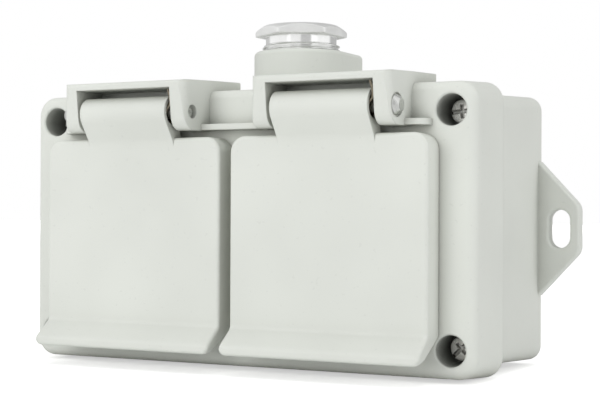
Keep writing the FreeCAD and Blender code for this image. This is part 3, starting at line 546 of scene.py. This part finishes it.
def floor_white():
    """A floor that stays white to the camera away from the part and takes its shadow."""
    t = Tree("floor_white")
    tone = (0.93, 0.93, 0.93)
    cloud = t.noise(3.0, 2.0)
    color = t.mix(cloud, shade(tone, 0.985), shade(tone, 1.0))
    seen = t.add("ShaderNodeLightPath").outputs["Is Camera Ray"]
    away = t.add("ShaderNodeVectorMath", {0: t.coords}, operation="LENGTH").outputs["Value"]
    glow = t.spread(away, 1.15, 2.2, 0.52, 1.0)
    t.put(t.shader.inputs["Emission Strength"], t.math("MULTIPLY", seen, glow))
    t.shader.inputs["Emission Color"].default_value = (1.0, 1.0, 1.0, 1.0)
    return t.finish(color, 0.7, specular=0.2)


FLOOR_GAP = 0.02
bpy.ops.mesh.primitive_plane_add(size=8.0, location=(0.0, 1.0, FLOOR_Z * MM - FLOOR_GAP * MM))
floor = bpy.context.object
floor.name = "floor"
floor.data.materials.append(floor_white())


def lamp(name, place, aim, width, height, power):
    """A soft lamp for the diffuse light; polished metal sees the world's walls instead."""
    data = bpy.data.lights.new(name, "AREA")
    data.shape = "RECTANGLE"
    data.size = width
    data.size_y = height
    data.energy = power
    obj = bpy.data.objects.new(name, data)
    obj.location = place
    obj.rotation_euler = (Vector(aim) - Vector(place)).to_track_quat("-Z", "Y").to_euler()
    obj.visible_glossy = False
    bpy.context.scene.collection.objects.link(obj)


MIDDLE = (0.0, -0.05, 0.0)
lamp("key", (-0.50, -1.56, 0.42), MIDDLE, 1.1, 1.1, 10.5)
lamp("fill", (1.40, 0.05, 0.30), (0.05, -0.05, 0.0), 0.9, 0.9, 4.5)
lamp("top", (0.1, -0.15, 1.3), MIDDLE, 0.9, 0.9, 4.3)
lamp("front", (0.25, -1.70, 0.20), MIDDLE, 1.3, 0.9, 1.0)


# How bright polished metal sees the studio's walls, by the angle in degrees from the
# viewer's side, to the right positive
STUDIO_WALLS = ((-180, 0.58), (-128, 0.62), (-118, 0.98), (-48, 0.96), (-43, 1.18), (-36, 1.18),
                (-31, 0.92), (-1, 0.90), (1, 0.56), (32, 0.60), (35, 1.18), (53, 1.16), (60, 1.02),
                (104, 1.00), (114, 0.50), (150, 0.50))
# The viewer's side, in degrees from +X towards +Y, and the world's share of the soft light
VIEWER_SIDE = -64.0
SOFT_SHARE = 0.52


def studio():
    """An even white studio; polished metal sees brighter and darker walls in it."""
    world = bpy.data.worlds.new("studio")
    bpy.context.scene.world = world
    world.use_nodes = True
    new = world.node_tree.nodes.new
    link = world.node_tree.links.new

    def calc(operation, a, b=0.0):
        node = new("ShaderNodeMath")
        node.operation = operation
        for socket, value in zip(node.inputs, (a, b)):
            if isinstance(value, bpy.types.NodeSocket):
                link(value, socket)
            else:
                socket.default_value = value
        return node.outputs[0]

    way = new("ShaderNodeSeparateXYZ")
    link(new("ShaderNodeTexCoord").outputs["Generated"], way.inputs[0])
    bearing = calc("ARCTAN2", way.outputs["Y"], way.outputs["X"])
    share = calc("DIVIDE", calc("SUBTRACT", bearing, math.radians(VIEWER_SIDE)), 2 * math.pi)
    share = calc("FRACT", calc("ADD", share, 1.5))
    walls = new("ShaderNodeValToRGB")
    link(share, walls.inputs[0])
    stops = walls.color_ramp.elements
    for degrees, _ in STUDIO_WALLS[1:-1]:
        stops.new(degrees / 360 + 0.5)
    for stop, (degrees, bright) in zip(stops, STUDIO_WALLS):
        stop.position = degrees / 360 + 0.5
        stop.color = (bright, bright, bright, 1.0)
    rays = new("ShaderNodeLightPath").outputs
    seen = calc("MAXIMUM", rays["Is Camera Ray"], rays["Is Transmission Ray"])
    glossy = calc("MULTIPLY", rays["Is Glossy Ray"], walls.outputs["Color"])
    soft = calc("MULTIPLY", rays["Is Diffuse Ray"], SOFT_SHARE)
    strength = calc("MAXIMUM", calc("MAXIMUM", seen, glossy), soft)
    sky = world.node_tree.nodes["Background"]
    link(strength, sky.inputs["Strength"])
    sky.inputs["Color"].default_value = (1.0, 1.0, 1.0, 1.0)


studio()

# The photo's camera: its place in millimetres, its lens, and its angles in degrees
CAMERA_PLACE = (202.74, -416.74, 4.93)
CAMERA_LENS = 81.65
CAMERA_YAW = 27.21
CAMERA_PITCH = 0.31
CAMERA_ROLL = 0.25


def set_camera():
    """At the photo's place: to the right of the front, level with the middle."""
    data = bpy.data.cameras.new("camera")
    data.sensor_width = 36.0
    data.lens = CAMERA_LENS
    data.shift_x = -0.0008
    data.shift_y = 0.0008
    data.clip_start = 0.01
    data.clip_end = 20.0
    camera = bpy.data.objects.new("camera", data)
    bpy.context.scene.collection.objects.link(camera)
    bpy.context.scene.camera = camera
    yaw, pitch, roll = map(math.radians, (CAMERA_YAW, CAMERA_PITCH, CAMERA_ROLL))
    ahead = Vector((-math.sin(yaw) * math.cos(pitch), math.cos(yaw) * math.cos(pitch),
                    math.sin(pitch)))
    level = Vector((math.cos(yaw), math.sin(yaw), 0.0))
    upright = level.cross(ahead)
    right = level * math.cos(roll) + upright * math.sin(roll)
    up = upright * math.cos(roll) - level * math.sin(roll)
    turn = Matrix((right, up, -ahead)).transposed().to_4x4()
    camera.matrix_world = Matrix.Translation([c * MM for c in CAMERA_PLACE]) @ turn


set_camera()

bpy.context.scene.view_settings.view_transform = "Standard"
